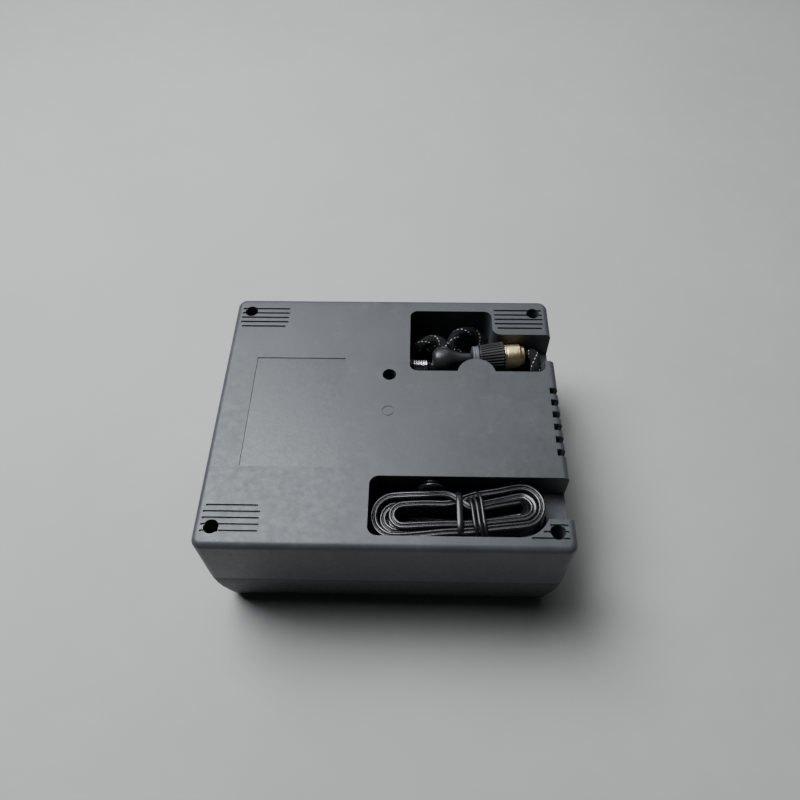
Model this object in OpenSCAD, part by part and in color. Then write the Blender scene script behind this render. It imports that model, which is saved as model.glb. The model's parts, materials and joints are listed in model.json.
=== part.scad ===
// Portable 12 V tyre inflator, lying on its top with its underside up.
// X runs along the long side, Y across it and Z up. The origin is at the middle of the resting face.

/* [Case] */
// Length of the case
case_w = 190; // [186:1:200]
// Width of the case
case_d = 164; // [160:1:172]
// Height of the case
case_h = 80; // [79:0.5:84]
// Height of the joint between the housing and the base cover
split_z = 38; // [36:1:40]
// Thickness of the case walls
wall = 2.4; // [2:0.1:3]
// Radius of the upright corners
corner_r = 5.5; // [5:0.5:8]
// Radius of the rounded edge around the base face
edge_r = 3.5; // [3:0.5:4.5]
// Radius of the long curve of the housing's sides
side_r = 150; // [120:1:180]
// Radius of the edge around the resting face
rest_r = 9; // [7:0.5:11]

/* [Base face] */
// Height of the floor of the two storage pockets
pocket_z = 34; // [33:0.5:35]
// Bore of the screw wells
well_d = 7.7; // [7:0.1:8]
// Number of cooling slots
vent_count = 6; // [4:1:7]
// Distance between the cooling slots
vent_pitch = 8; // [7.5:0.1:8.2]
// Width of a cooling slot
vent_w = 4.1; // [3:0.1:5]
// Width of a pad groove
groove_w = 1.2; // [0.8:0.1:1.4]
// Depth of a pad groove
groove_depth = 1; // [0.6:0.1:1.4]

/* [Air hose and chuck] */
// Outer diameter of the braided hose
hose_d = 6.4; // [6:0.1:6.6]
// Height of the chuck's axis
chuck_z = 70.8; // [70:0.1:70.8]
// Turn of the chuck's axis away from X, in degrees
chuck_turn = 4.3; // [4:0.1:5]
// Largest radius of the chuck's knurled grip
grip_r = 9.1; // [8.5:0.1:9.1]
// Radius of the brass nut
nut_r = 7; // [6.5:0.1:7.2]

/* [Lead and plug] */
// Width of the twin-core lead
lead_w = 4; // [3.8:0.1:4.4]
// Radius of the plug body
plug_r = 10.4; // [10:0.1:10.4]

/* [Pump] */
// Crank throw, half of the piston's stroke
throw = 7; // [6:0.5:7]
// Radius of the piston
piston_r = 13; // [12:0.5:13]
// Gear module
gear_m = 0.8; // [0.8:0.1:0.8]
// Teeth of the pinion
pinion_teeth = 12; // [12:1:12]
// Teeth of the crank gear
gear_teeth = 48; // [48:4:48]

/* [Hidden] */
$fn = 48;
hx = case_w / 2;
hy = case_d / 2;
rest_s = (split_z - rest_r) / (side_r - rest_r);
rest_angle = asin(rest_s);
rest_in = side_r - (side_r - rest_r) * cos(rest_angle);
seam = 0.4;
// screw wells: four corners and one near the middle
wells = [[-85.6, -71.3], [85.6, -71.3], [-85.6, 71.3], [85.6, 71.3], [0, 24]];
well_floor = 50;
vent_y = 13.75;
vent_reach = 5;
// pump layout: the motor and the crank turn about lines along X
axis_y = -8;
motor_z = 54;
centre_gap = gear_m * (pinion_teeth + gear_teeth) / 2;
crank_z = motor_z - centre_gap;
gear_x = -24;
gear_t = 8;
rod_x = -31.5;
cyl_y0 = 14;
cyl_y1 = 40;
// gauge and switch in the face that the case rests on
gauge_at = [-58, -42];
gauge_r = 23;
switch_at = [-73, 42];
rocker_z = 5;
rocker_tip = 7;
// chuck axis: a point on it, and its direction in plan
chuck_at = [29.4, 42.2];
// lead and plug
plug_z = pocket_z + plug_r;
plug_y = -58;
hank_z0 = 56;
hank_z1 = 73;
hank_tilt = 3.2;
hank_left = -7.1;
tie_proud = 1.1;
grommet_at = [24, -41.5, 71.5];
head_y = 46;
hose_y = 46;
hose_z = 58.5;
// route of the air hose, from its gland to the chuck's boot
hose_route = [
    [13, 46, 58.5], [19, 46, 58.5], [25, 46, 58], [31, 46, 56.5], [39, 45.5, 52], [48, 44, 45.5],
    [58, 42, 41], [68, 43, 41.5], [76, 47, 47], [81.5, 50.5, 56], [83.8, 50.5, 64.5], [84.6, 47.5, 70.5],
    [85.6, 42, 72], [85.8, 36, 70], [85.5, 32.2, 63], [83, 30.5, 54], [76, 30.5, 44.5], [65, 30.5, 39],
    [52, 30.5, 37.5], [38, 30.5, 37.5], [25, 31.5, 37.5], [16.5, 38, 37.8], [15, 48, 38],
    [15.5, 58, 38.2], [20.5, 66, 38.8], [30, 69, 39.5], [42, 69, 40.5], [52, 66, 42.5],
    [56.5, 58.5, 45.5], [53, 51, 50], [45, 50, 55.5], [38, 53, 61], [37, 60, 65.5], [42, 66.5, 67],
    [50, 68.5, 65], [56, 65.5, 59.5], [55.5, 61, 53.5], [48, 62, 50], [38, 65.5, 49],
    [27, 67.5, 50], [18, 64.5, 53], [15.2, 59, 58.5], [17, 57, 64.5], [22.5, 59, 68],
    [28, 58.8, 68.6], [31.6, 55.8, 68.3], [32, 51.5, 68]
];
// hose from the tee to the gauge, and wires from the lead to the switch and on to the motor
gauge_route = [
    [-10, 46, 16], [-10, 46.5, 9], [-10.5, 50, 6], [-12, 62, 5.5], [-18, 68, 5.8], [-40, 69, 8],
    [-56, 60, 18], [-62, 40, 28], [-63, 0, 34], [-61, -30, 36], [-58.5, -41, 33], [-58, -42, 28],
    [-58, -42, 24.8]];
supply_route = [
    [24, -38, 71.5], [24, -35.5, 70], [24, -34.5, 64], [22, -34, 32], [14, -35, 26], [-8, -42, 24],
    [-28, -68, 25], [-70, -71, 28], [-86, -60, 28], [-88, -40, 28], [-88, 20, 28], [-84, 38, 28],
    [-79.5, 41.5, 26], [-79, 42, 21]];
motor_route = [
    [-67, 42, 21], [-67, 42, 40], [-64, 40, 56], [-50, 30, 62], [-20, 14, 68], [10, 14.5, 69],
    [38, 14, 68], [47, 8, 64], [47, 2, 59], [44, 1, 58], [40.8, 1, 58]];
// route of the lead's tail, from under the hank to the back of the plug
tail_route = [
    [79, -56, 60.8], [79.8, -56.1, 55], [80.2, -56.6, 49.5], [78, -57.4, 45.4], [74, -58, 44.4]];
entry_route = [[24, -46, 71.5], [24, -46.25, 71.5], [24, -46.5, 71.5]];

// ---------- shared shapes ----------
module rrect(x0, y0, x1, y1, r) {
    translate([x0 + r, y0]) square([x1 - x0 - 2 * r, y1 - y0]);
    translate([x0, y0 + r]) square([x1 - x0, y1 - y0 - 2 * r]);
    for (x = [x0 + r, x1 - r], y = [y0 + r, y1 - r]) translate([x, y]) circle(r);
}
module slice(inset, z, r) {
    translate([0, 0, z]) linear_extrude(0.001)
        rrect(-hx + inset, -hy + inset, hx - inset, hy - inset, r, $fn = 32);
}
// cylinder along X from x0
module rod_along_x(x0, y, z, r, l) { translate([x0, y, z]) rotate([0, 90, 0]) cylinder(r = r, h = l); }
// cylinder along Y from y0
module rod_along_y(x, y0, z, r, l) { translate([x, y0, z]) rotate([-90, 0, 0]) cylinder(r = r, h = l); }
module box(x0, y0, z0, x1, y1, z1) { translate([x0, y0, z0]) cube([x1 - x0, y1 - y0, z1 - z0]); }
module bar(a, b, r) {
    d = b - a;
    l = norm(d);
    translate(a) rotate([0, acos(d[2] / l), atan2(d[1], d[0])]) cylinder(r = r, h = l);
}
// straight lengths with round elbows
module pipe(points, r) {
    for (i = [0 : len(points) - 2]) bar(points[i], points[i + 1], r);
    for (i = [1 : 1 : len(points) - 2]) translate(points[i]) sphere(r);
}
// one swept tube: rings around each route point, turned with the route
function unit(v) = v / norm(v);
function heading(p, i) = unit(p[min(i + 1, len(p) - 1)] - p[max(i - 1, 0)]);
function carry(p, i, n) = unit(n - (n * heading(p, i)) * heading(p, i));
function normals(p, n, i = 0, out = []) =
    i == len(p) ? out : let (m = carry(p, i, n)) normals(p, m, i + 1, concat(out, [m]));
module tube(p, r, sides, start) {
    ns = normals(p, start);
    rings = [for (i = [0 : len(p) - 1], k = [0 : sides - 1])
        let (a = 360 * k / sides, n = ns[i], b = cross(heading(p, i), n))
        p[i] + r * (cos(a) * n + sin(a) * b)];
    last = (len(p) - 1) * sides;
    sides_quads = [for (i = [0 : len(p) - 2], k = [0 : sides - 1])
        [i * sides + k, (i + 1) * sides + k, (i + 1) * sides + (k + 1) % sides, i * sides + (k + 1) % sides]];
    ends = [[for (k = [0 : sides - 1]) k], [for (k = [sides - 1 : -1 : 0]) last + k]];
    polyhedron(rings, concat(sides_quads, ends), convexity = 10);
}
// points halfway between the route's own points, for a smoother sweep
function midway(p) = [for (i = [0 : len(p) - 2]) each
    i == 0 || i == len(p) - 2 ? [p[i]] : [p[i], (9 * (p[i] + p[i + 1]) - p[i - 1] - p[i + 2]) / 16]];
function smooth(p) = concat(midway(p), [p[len(p) - 1]]);

// ---------- case ----------
// quarter round of the base edge, in the plane across the edge
module edge_profile(r, core) {
    square([core, r]);
    intersection() {
        translate([core, 0]) circle(r);
        translate([core - 0.01, 0]) square([r + 1, r + 1]);
    }
}
module base_solid(off, z0) {
    r = edge_r - off;
    core = corner_r - edge_r;
    ex = hx - corner_r;
    ey = hy - corner_r;
    top = case_h - edge_r;
    translate([0, 0, z0]) linear_extrude(top - z0)
        rrect(-hx + off, -hy + off, hx - off, hy - off, corner_r - off);
    translate([-ex, -ey, top]) cube([2 * ex, 2 * ey, r]);
    for (k = [0 : 3]) rotate([0, 0, 90 * k]) {
        along = k % 2 == 0 ? ey : ex;
        out = k % 2 == 0 ? ex : ey;
        translate([out, along, top]) rotate([90, 0, 0]) linear_extrude(2 * along) edge_profile(r, core);
        translate([out, along, top]) rotate_extrude(angle = 90) edge_profile(r, core);
    }
}
module housing_solid(off) {
    big = side_r - off;
    small = rest_r - off;
    hull() {
        slice(off + (off == 0 ? seam : 0), split_z + (off == 0 ? -0.001 : 1), corner_r - off);
        for (a = [1 : rest_angle / 4 : rest_angle])
            slice(side_r - big * cos(a), split_z - big * sin(a), corner_r - off + 4 * (1 - cos(4 * a)));
        for (i = [0 : 6]) let (a = rest_angle + (90 - rest_angle) * i / 6)
            slice(rest_in - small * cos(a), rest_r - small * sin(a), corner_r);
    }
}
module pocket_a(g) {
    rrect(11.5 - g, 27 - g, 60.5 + g, 72.6 + g, 4.5 + g);
    rrect(11.5 - g, 27 - g, 89.4 + g, 54.5 + g, 4.5 + g);
    translate([70, 35 - g]) square([19.4 + g, 19.5 + 2 * g]);
    difference() {
        translate([60.5 - 2, 54.5 - 2]) square([7 - g, 7 - g]);
        translate([65.5, 59.5]) circle(5 - g);
    }
}
module pocket_b(g) {
    rrect(-8.3 - g, -74.7 - g, 70, -41.5 + g, 5 + g);
    translate([66.5, -58.2]) circle(16.5 + g);
    translate([60, -64.6 - g]) square([24 + g, 23.1 + 2 * g]);
}
module corner_grooves() {
    for (sx = [-1, 1], k = [0 : 4]) {
        y = 59.5 + 3.5 * k;
        x0 = k == 0 ? 64.2 : 62.7;
        x1 = k == 0 ? 89.5 : 90.5;
        groove(sx, y, x0, x1);
        if (sx < 0) groove(sx, -y, x0, x1);
    }
    groove(1, -75, 73, 90.5);
    groove(1, -71.5, 79, 90.5);
    groove(1, -68, 82.5, 90.5);
}
module groove(sx, y, x0, x1) {
    translate([0, 0, case_h - groove_depth]) linear_extrude(2) {
        translate([min(sx * x0, sx * x1), y - groove_w / 2]) square([x1 - x0, groove_w]);
        for (x = [x0, x1]) translate([sx * x, y]) circle(groove_w / 2, $fn = 16);
    }
}
module base_cover() {
    color([0.24, 0.25, 0.27]) difference() {
        union() {
            difference() { base_solid(0, split_z); base_solid(wall, split_z - 1); }
            intersection() {
                base_solid(wall / 2, pocket_z - 4);
                union() {
                    translate([0, 0, pocket_z - 2]) linear_extrude(case_h - pocket_z) {
                        pocket_a(2);
                        pocket_b(2);
                    }
                    for (w = wells) translate([w[0], w[1], well_floor - 8])
                        cylinder(r = 5.6, h = case_h - well_floor + 6);
                    // sills and side walls around the two side notches
                    box(86, 33, 57, hx - 1, 56.5, case_h - 2);
                    box(80, -66.6, 57, hx - 1, -39.5, case_h - 2);
                }
            }
        }
        translate([0, 0, pocket_z]) linear_extrude(case_h) {
            pocket_a(0);
            pocket_b(0);
        }
        // side notches, open above the sills
        box(86, 35, 62, hx + 1, 54.5, case_h + 1);
        box(83, -64.6, 62, hx + 1, -41.5, case_h + 1);
        for (w = wells) translate([w[0], w[1], 0]) {
            translate([0, 0, well_floor]) cylinder(d = well_d, h = case_h);
            cylinder(d = 3.9, h = case_h);
        }
        for (k = [0 : vent_count - 1])
            box(hx - vent_reach, vent_y - k * vent_pitch - vent_w / 2, 50, hx + 1,
                vent_y - k * vent_pitch + vent_w / 2, case_h + 1);
        rod_along_x(9, hose_y, hose_z, 4.4, 3);
        rod_along_y(grommet_at[0], -42, grommet_at[2], 3.4, 3);
        // moulding mark and label recess
        translate([0, -1, case_h - 0.3]) difference() {
            cylinder(d = 6.7, h = 1);
            translate([0, 0, -1]) cylinder(d = 5.7, h = 3);
        }
        box(-77, -36.6, case_h - 0.5, -25.8, 35.5, case_h + 1);
        corner_grooves();
    }
    // finger tab over the hose pocket
    color([0.24, 0.25, 0.27]) intersection() {
        translate([49.8, 25, case_h - 2.4]) cylinder(r = 11, h = 2.4);
        box(30, 26.9, case_h - 3, 70, 45, case_h);
    }
}
module top_housing() {
    color([0.19, 0.2, 0.21]) difference() {
        union() {
            difference() { housing_solid(0); housing_solid(wall); }
            intersection() {
                housing_solid(wall / 2);
                union() {
                    for (w = wells) translate([w[0], w[1], 0]) cylinder(r = 4.6, h = split_z);
                    translate([gauge_at[0], gauge_at[1], 0]) cylinder(r = gauge_r + 3.6, h = 7);
                    box(switch_at[0] - 14, switch_at[1] - 11, 0, switch_at[0] + 14, switch_at[1] + 11, 5);
                    // posts under the pump frame
                    for (p = frame_posts) translate([p[0], p[1], 0]) cylinder(r = 4, h = p[2]);
                }
            }
            for (w = wells) translate([w[0], w[1], split_z - 2]) cylinder(r = 4.6, h = 6);
        }
        translate([gauge_at[0], gauge_at[1], -1]) cylinder(r = gauge_r + 1.6, h = 10);
        box(switch_at[0] - 11.6, switch_at[1] - 8.6, -1, switch_at[0] + 11.6, switch_at[1] + 8.6, 2.4);
        box(switch_at[0] - 9.6, switch_at[1] - 6.6, -1, switch_at[0] + 9.6, switch_at[1] + 6.6, 6);
        for (w = wells) translate([w[0], w[1], 20]) cylinder(d = 3, h = 40);
        for (p = frame_posts) translate([p[0], p[1], p[2] - 6]) cylinder(d = 2.4, h = 20);
    }
}
frame_posts = [[4, -32, 7], [4, 16, 7], [-56, 8, 7], [-56, 56, 7]];
module case_screws() {
    color("silver") for (w = wells) translate([w[0], w[1], 0]) difference() {
        union() {
            translate([0, 0, 26]) cylinder(d = 3, h = 24);
            translate([0, 0, well_floor]) cylinder(d = 6.8, h = 2.6);
        }
        translate([-2.4, -0.45, well_floor + 1.4]) cube([4.8, 0.9, 2]);
        translate([-0.45, -2.4, well_floor + 1.4]) cube([0.9, 4.8, 2]);
    }
}

// ---------- gauge ----------
module at_gauge(z) { translate([gauge_at[0], gauge_at[1], z]) children(); }
module ring(r1, r0, h) {
    difference() {
        cylinder(r = r1, h = h);
        translate([0, 0, -1]) cylinder(r = r0, h = h + 2);
    }
}
module gauge_bezel() { color("silver") at_gauge(0.6) ring(gauge_r + 1.5, gauge_r - 2, 2); }
module gauge_lens() { color([0.8, 0.85, 0.9, 0.4]) at_gauge(2.6) cylinder(r = gauge_r, h = 1.6); }
module gauge_case() {
    color([0.12, 0.12, 0.13]) at_gauge(2.6) difference() {
        union() {
            cylinder(r = gauge_r + 1.5, h = 17);
            translate([0, 0, 17]) cylinder(r = 4, h = 4);
        }
        translate([0, 0, -1]) cylinder(r = gauge_r, h = 16.6);
        translate([0, 0, 10]) cylinder(r = 2.5, h = 20);
    }
}
module gauge_dial() {
    color("white") at_gauge(6.8) {
        ring(gauge_r, 1.6, 0.8);
    }
}
module gauge_needle() {
    color("firebrick") at_gauge(5.2) {
        cylinder(r = 1.8, h = 1.2);
        translate([-0.5, -16, 0]) cube([1, 22, 0.7]);
        cylinder(r = 0.9, h = 5);
    }
}
module gauge_tube() {
    color([0.8, 0.62, 0.3]) at_gauge(12) {
        rotate([0, 0, 20]) rotate_extrude(angle = 280) translate([14, 0]) circle(1.6, $fn = 24);
        translate([0, 0, 2.2]) cylinder(r = 2.4, h = 10.6);
        rotate([0, 0, 20]) translate([0, 0, 1.8]) bar([0, 0, 2.2], [14, 0, 0], 1.2);
    }
}

// ---------- switch ----------
module switch_frame() {
    color([0.1, 0.1, 0.1]) difference() {
        union() {
            box(switch_at[0] - 11.5, switch_at[1] - 8.5, 0.3, switch_at[0] + 11.5, switch_at[1] + 8.5, 2.4);
            box(switch_at[0] - 9.5, switch_at[1] - 6.5, 2, switch_at[0] + 9.5, switch_at[1] + 6.5, 15);
        }
        box(switch_at[0] - 8.2, switch_at[1] - 5.2, -1, switch_at[0] + 8.2, switch_at[1] + 5.2, 12);
        rod_along_y(switch_at[0], switch_at[1] - 7.5, rocker_z, 1.05, 15);
        switch_blades();
    }
}
module switch_rocker() {
    color("red") translate([switch_at[0], 0, rocker_z]) rotate([0, rocker_tip, 0]) difference() {
        union() {
            box(-7.2, switch_at[1] - 4.8, -3.3, 7.2, switch_at[1] + 4.8, 2);
            rod_along_y(0, switch_at[1] - 6.4, 0, 1, 12.8);
        }
        // shallow dish in the face
        rod_along_y(0, switch_at[1] - 9, -24.8, 22, 18);
    }
}
module switch_blades() {
    for (x = [-6, 0, 6])
        box(switch_at[0] + x - 0.4, switch_at[1] - 2.4, 12.5, switch_at[0] + x + 0.4, switch_at[1] + 2.4, 21);
}
module switch_contacts() { color([0.8, 0.62, 0.3]) switch_blades(); }

// ---------- pump ----------
// spur gear with straight-sided teeth, along +Z
module spur(teeth, r_pitch, t, turn) {
    root = r_pitch - 1.2 * gear_m;
    tip = r_pitch + 0.9 * gear_m;
    a = 360 / teeth;
    rotate([0, 0, turn]) linear_extrude(t) {
        circle(root + 0.01);
        for (k = [0 : teeth - 1]) rotate([0, 0, k * a]) polygon([
            [root - 0.4, -root * sin(a * 0.25)], [r_pitch, -r_pitch * sin(a * 0.19)], [tip, -tip * sin(a * 0.07)],
            [tip, tip * sin(a * 0.07)], [r_pitch, r_pitch * sin(a * 0.19)], [root - 0.4, root * sin(a * 0.25)]]);
    }
}
module along_x(x, y, z) { translate([x, y, z]) rotate([0, 90, 0]) children(); }
module crank_gear() {
    color([0.85, 0.85, 0.8]) difference() {
        along_x(gear_x, axis_y, crank_z) spur(gear_teeth, gear_m * gear_teeth / 2, gear_t, 0);
        rod_along_x(gear_x - 1, axis_y, crank_z, 3, gear_t + 2);
        for (a = [90 : 90 : 360]) rotate_about_crank(a + 45) rod_along_x(gear_x - 1, 0, 12, 3.4, gear_t + 2);
        rod_along_x(gear_x - 1, axis_y + throw, crank_z, 2.5, 5);
    }
}
module rotate_about_crank(a) { translate([0, axis_y, crank_z]) rotate([a, 0, 0]) children(); }
module crank_shaft() { color("silver") rod_along_x(gear_x, axis_y, crank_z, 3, 16); }
module crank_pin() { color("silver") rod_along_x(gear_x - 4.1, axis_y + throw, crank_z, 2.5, 8.1); }
module pinion() {
    color("silver") difference() {
        along_x(gear_x, axis_y, motor_z) spur(pinion_teeth, gear_m * pinion_teeth / 2, gear_t, 15);
        rod_along_x(gear_x - 1, axis_y, motor_z, 1.6, gear_t + 2);
    }
}
module pump_frame() {
    color([0.6, 0.6, 0.62]) difference() {
        union() {
            // plate between the gears and the motor
            box(-15, -30, 12, -12.2, 12, 74);
            rod_along_x(-15, axis_y, crank_z, 5.5, 6);
            // feet and base plate
            box(-60, 4, 7, 8, 18, 9.6);
            box(-60, 20, 7, -52, 60, 9.6);
            box(0, -36, 7, 8, 10, 9.6);
            box(-15, -36, 7, 4, 18, 9.6);
            box(-15, -30, 9, -12.2, 12, 20);
            // seat for the cylinder
            box(-60, 17, 7, -20, 40, 9.6);
            box(-44, 20, 9, -19, 34, 14);
        }
        rod_along_y(rod_x, 10, crank_z, 18.5, 40);
        rod_along_x(-20, axis_y, crank_z, 3.04, 20);
        rod_along_x(-20, axis_y, motor_z, 6.2, 20);
        for (p = frame_posts) translate([p[0], p[1], 0]) cylinder(r = 1.6, h = 20);
        for (y = [-1, 1]) rod_along_x(-20, axis_y + 12 * y, motor_z, 1.6, 20);
    }
}
module frame_screws() {
    color("silver") for (p = frame_posts) translate([p[0], p[1], 0]) {
        translate([0, 0, 2.6]) cylinder(d = 2.4, h = 7);
        translate([0, 0, 9.6]) cylinder(d = 5.6, h = 2.2);
    }
}
module motor_can() {
    color([0.7, 0.7, 0.72]) difference() {
        rod_along_x(-12.2, axis_y, motor_z, 18, 50);
        rod_along_x(-10.7, axis_y, motor_z, 16.8, 60);
        rod_along_x(-20, axis_y, motor_z, 1.64, 20);
    }
}
module motor_endcap() {
    color([0.12, 0.12, 0.13]) difference() {
        union() {
            rod_along_x(37.8, axis_y, motor_z, 18, 3);
            rod_along_x(34, axis_y, motor_z, 16.7, 4);
            rod_along_x(40, axis_y, motor_z, 5, 4);
        }
        rod_along_x(30, axis_y, motor_z, 13.5, 6.2);
        rod_along_x(30, axis_y, motor_z, 1.64, 12);
    }
}
module motor_magnets() {
    color([0.2, 0.2, 0.2]) intersection() {
        difference() {
            rod_along_x(-6, axis_y, motor_z, 16.8, 34);
            rod_along_x(-7, axis_y, motor_z, 13, 36);
        }
        for (s = [-1, 1]) translate([0, axis_y + s * 14, motor_z]) cube([80, 14, 24], center = true);
    }
}
module armature_core() {
    color([0.45, 0.45, 0.47]) difference() {
        rod_along_x(-4, axis_y, motor_z, 12.3, 26);
        rod_along_x(-5, axis_y, motor_z, 1.6, 40);
        for (k = [0 : 4]) translate([0, axis_y, motor_z]) rotate([72 * k, 0, 0]) {
            box(-5, -0.9, 8, 30, 0.9, 13);
            rod_along_x(-5, 0, 7.5, 3, 40);
        }
    }
}
module armature_winding() {
    color([0.72, 0.4, 0.2]) difference() {
        union() {
            rod_along_x(-7.5, axis_y, motor_z, 10, 3.5);
            rod_along_x(22, axis_y, motor_z, 10, 3.5);
            for (k = [0 : 4]) translate([0, axis_y, motor_z]) rotate([72 * k, 0, 0])
                rod_along_x(-5, 0, 7.5, 2.9, 28);
        }
        rod_along_x(-9, axis_y, motor_z, 1.6, 60);
    }
}
module commutator() {
    color([0.72, 0.4, 0.2]) difference() {
        rod_along_x(25.5, axis_y, motor_z, 4, 8);
        rod_along_x(25, axis_y, motor_z, 1.6, 12);
        for (k = [0 : 4]) translate([0, axis_y, motor_z]) rotate([72 * k, 0, 0])
            box(27, -0.25, 3.4, 40, 0.25, 5);
    }
}
module motor_shaft() { color("silver") rod_along_x(gear_x - 1, axis_y, motor_z, 1.6, 66.5); }
module motor_brushes() {
    color([0.15, 0.15, 0.16]) for (s = [-1, 1])
        box(29, axis_y - 2, motor_z + (s > 0 ? 4.2 : -12.2), 36.2, axis_y + 2, motor_z + (s > 0 ? 12.2 : -4.2));
}
module piston_rod() {
    color([0.7, 0.7, 0.72]) difference() {
        union() {
            rod_along_x(rod_x - 3, axis_y + throw, crank_z, 7, 6);
            box(rod_x - 3, axis_y + throw, crank_z - 3.5, rod_x + 3, 32, crank_z + 3.5);
            rod_along_y(rod_x, 31, crank_z, piston_r - 0.4, 2.5);
            rod_along_y(rod_x, 34.5, crank_z, piston_r - 1.6, 2.5);
            rod_along_y(rod_x, 31, crank_z, 3, 6);
        }
        rod_along_x(rod_x - 4, axis_y + throw, crank_z, 5, 10);
    }
}
module rod_bearing() {
    color("silver") difference() {
        rod_along_x(rod_x - 3, axis_y + throw, crank_z, 5, 6);
        rod_along_x(rod_x - 4, axis_y + throw, crank_z, 2.5, 10);
    }
}
module piston_cup() {
    color([0.1, 0.1, 0.1]) difference() {
        rod_along_y(rod_x, 33.5, crank_z, piston_r - 0.05, 1);
        rod_along_y(rod_x, 33, crank_z, 3, 3);
    }
}
module cylinder_fins() {
    for (k = [0 : 5]) rod_along_y(rod_x, cyl_y0 + 1.5 + 4 * k, crank_z, 18.5, 1.6);
}
module pump_cylinder() {
    color([0.75, 0.76, 0.78]) difference() {
        union() {
            rod_along_y(rod_x, cyl_y0, crank_z, piston_r + 2, cyl_y1 - cyl_y0);
            cylinder_fins();
            rod_along_y(rod_x, cyl_y1 - 3, crank_z, 18.5, 3);
        }
        rod_along_y(rod_x, cyl_y0 - 1, crank_z, piston_r, 40);
        for (a = [45 : 90 : 360]) head_hole(a, cyl_y1 - 8, 1.2, 20);
    }
}
module head_hole(a, y0, r, l) {
    translate([rod_x, 0, crank_z]) rotate([0, a, 0]) rod_along_y(16.6, y0, 0, r, l);
}
module cylinder_head() {
    color([0.75, 0.76, 0.78]) difference() {
        union() {
            rod_along_y(rod_x, 40.4, crank_z, 18.5, 4.6);
            rod_along_y(rod_x, 45, crank_z, 11, 5);
            rod_along_x(-24, head_y, crank_z, 5, 6);
        }
        rod_along_y(rod_x, 39, crank_z, 7, 8);
        rod_along_x(-30, head_y, crank_z, 3.5, 20);
        for (a = [45 : 90 : 360]) head_hole(a, 39, 1.2, 20);
    }
}
module reed_valve() {
    color("silver") difference() {
        rod_along_y(rod_x, 40, crank_z, 18.5, 0.4);
        // slit around the flap
        for (s = [-1, 1]) box(rod_x + s * 3 - 0.3, 39, crank_z - 6, rod_x + s * 3 + 0.3, 41, crank_z + 6);
        for (a = [45 : 90 : 360]) head_hole(a, 39, 1.2, 20);
    }
}
module head_screws() {
    color("silver") for (a = [45 : 90 : 360]) {
        head_hole(a, 33, 1.2, 12);
        head_hole(a, 45, 2.4, 2.2);
    }
}
module air_tee() {
    color([0.8, 0.62, 0.3]) {
        rod_along_x(-22, head_y, crank_z, 3.5, 20);
        translate([-10, head_y, 16]) cylinder(r = 2.4, h = 14);
    }
}
module pump_hose() {
    color([0.12, 0.12, 0.12])
        pipe([[-2, head_y, crank_z], [3, head_y, crank_z], [3, head_y, hose_z], [5.5, head_y, hose_z]], 2.8);
}
module gauge_hose() { color([0.12, 0.12, 0.12]) tube(gauge_route, 1.8, 8, [1, 0, 0]); }
module inner_wires() {
    color("firebrick") tube(supply_route, 1.1, 8, [1, 0, 0]);
    color("firebrick") tube(motor_route, 1.1, 8, [1, 0, 0]);
}

// ---------- hose and chuck ----------
module half_round(r, h, c) {
    square([r - c, h]);
    translate([0, c]) square([r, h - 2 * c]);
    for (y = [c, h - c]) translate([r - c, y]) circle(c);
}
module hose_gland() {
    color([0.1, 0.1, 0.1]) difference() {
        union() {
            along_x(5.5, hose_y, hose_z) cylinder(r = 7, h = 4, $fn = 6);
            rod_along_x(5.5, hose_y, hose_z, 4.4, 7.5);
            rod_along_x(11.5, hose_y, hose_z, 6, 1.5);
        }
        rod_along_x(6.5, hose_y, hose_z, 2, 5);
    }
}
module hose_spring() {
    color("silver") along_x(13, hose_y, hose_z) rotate_extrude() {
        translate([hose_d / 2 + 0.2, 0]) square([1.2, 9.4]);
        for (k = [0 : 4]) translate([4.8, 1 + 1.75 * k]) circle(0.7, $fn = 16);
    }
}
module air_hose() { color([0.13, 0.13, 0.13]) tube(hose_route, hose_d / 2, 12, [0, 1, 0]); }
module at_chuck(s) {
    translate([chuck_at[0], chuck_at[1], chuck_z]) rotate([0, 0, chuck_turn])
        translate([s, 0, 0]) rotate([0, 90, 0]) children();
}
module chuck_boot() {
    color([0.14, 0.14, 0.15]) {
        at_chuck(-4.4) rotate_extrude() half_round(7, 10.4, 3);
        at_chuck(6) cylinder(r1 = 5.6, r2 = 3.2, h = 8);
        at_chuck(14) cylinder(r = 3.2, h = 5.4);
        rod_along_y(32, 43.5, 68, 4.4, 8);
    }
}
module chuck_collar() {
    color([0.55, 0.56, 0.58]) {
        at_chuck(19.4) cylinder(r = 7, h = 3.6);
        at_chuck(22) cylinder(r = 4, h = 14);
    }
}
module chuck_pin() { color([0.8, 0.62, 0.3]) at_chuck(36) cylinder(r = 0.9, h = 7); }
module chuck_grip() {
    color([0.16, 0.16, 0.17]) difference() {
        at_chuck(23.1) cylinder(r1 = 7.3, r2 = grip_r, h = 14.6);
        at_chuck(22) cylinder(r = 4.05, h = 20);
        for (k = [0 : 27]) at_chuck(24.4) rotate([0, 0, k * 360 / 28]) rotate([0, 7, 0])
            translate([7.25, -0.35, 0]) cube([3, 0.7, 16]);
    }
}
module chuck_nut() {
    color([0.8, 0.62, 0.3]) difference() {
        union() {
            at_chuck(37.7) cylinder(r = nut_r, h = 10.3);
            at_chuck(47) cylinder(r = 5.6, h = 3);
        }
        at_chuck(37) cylinder(r = 3.85, h = 20);
    }
}
module chuck_washer() { color([0.1, 0.1, 0.1]) at_chuck(38) ring(3.85, 2.2, 2.4); }

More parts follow.
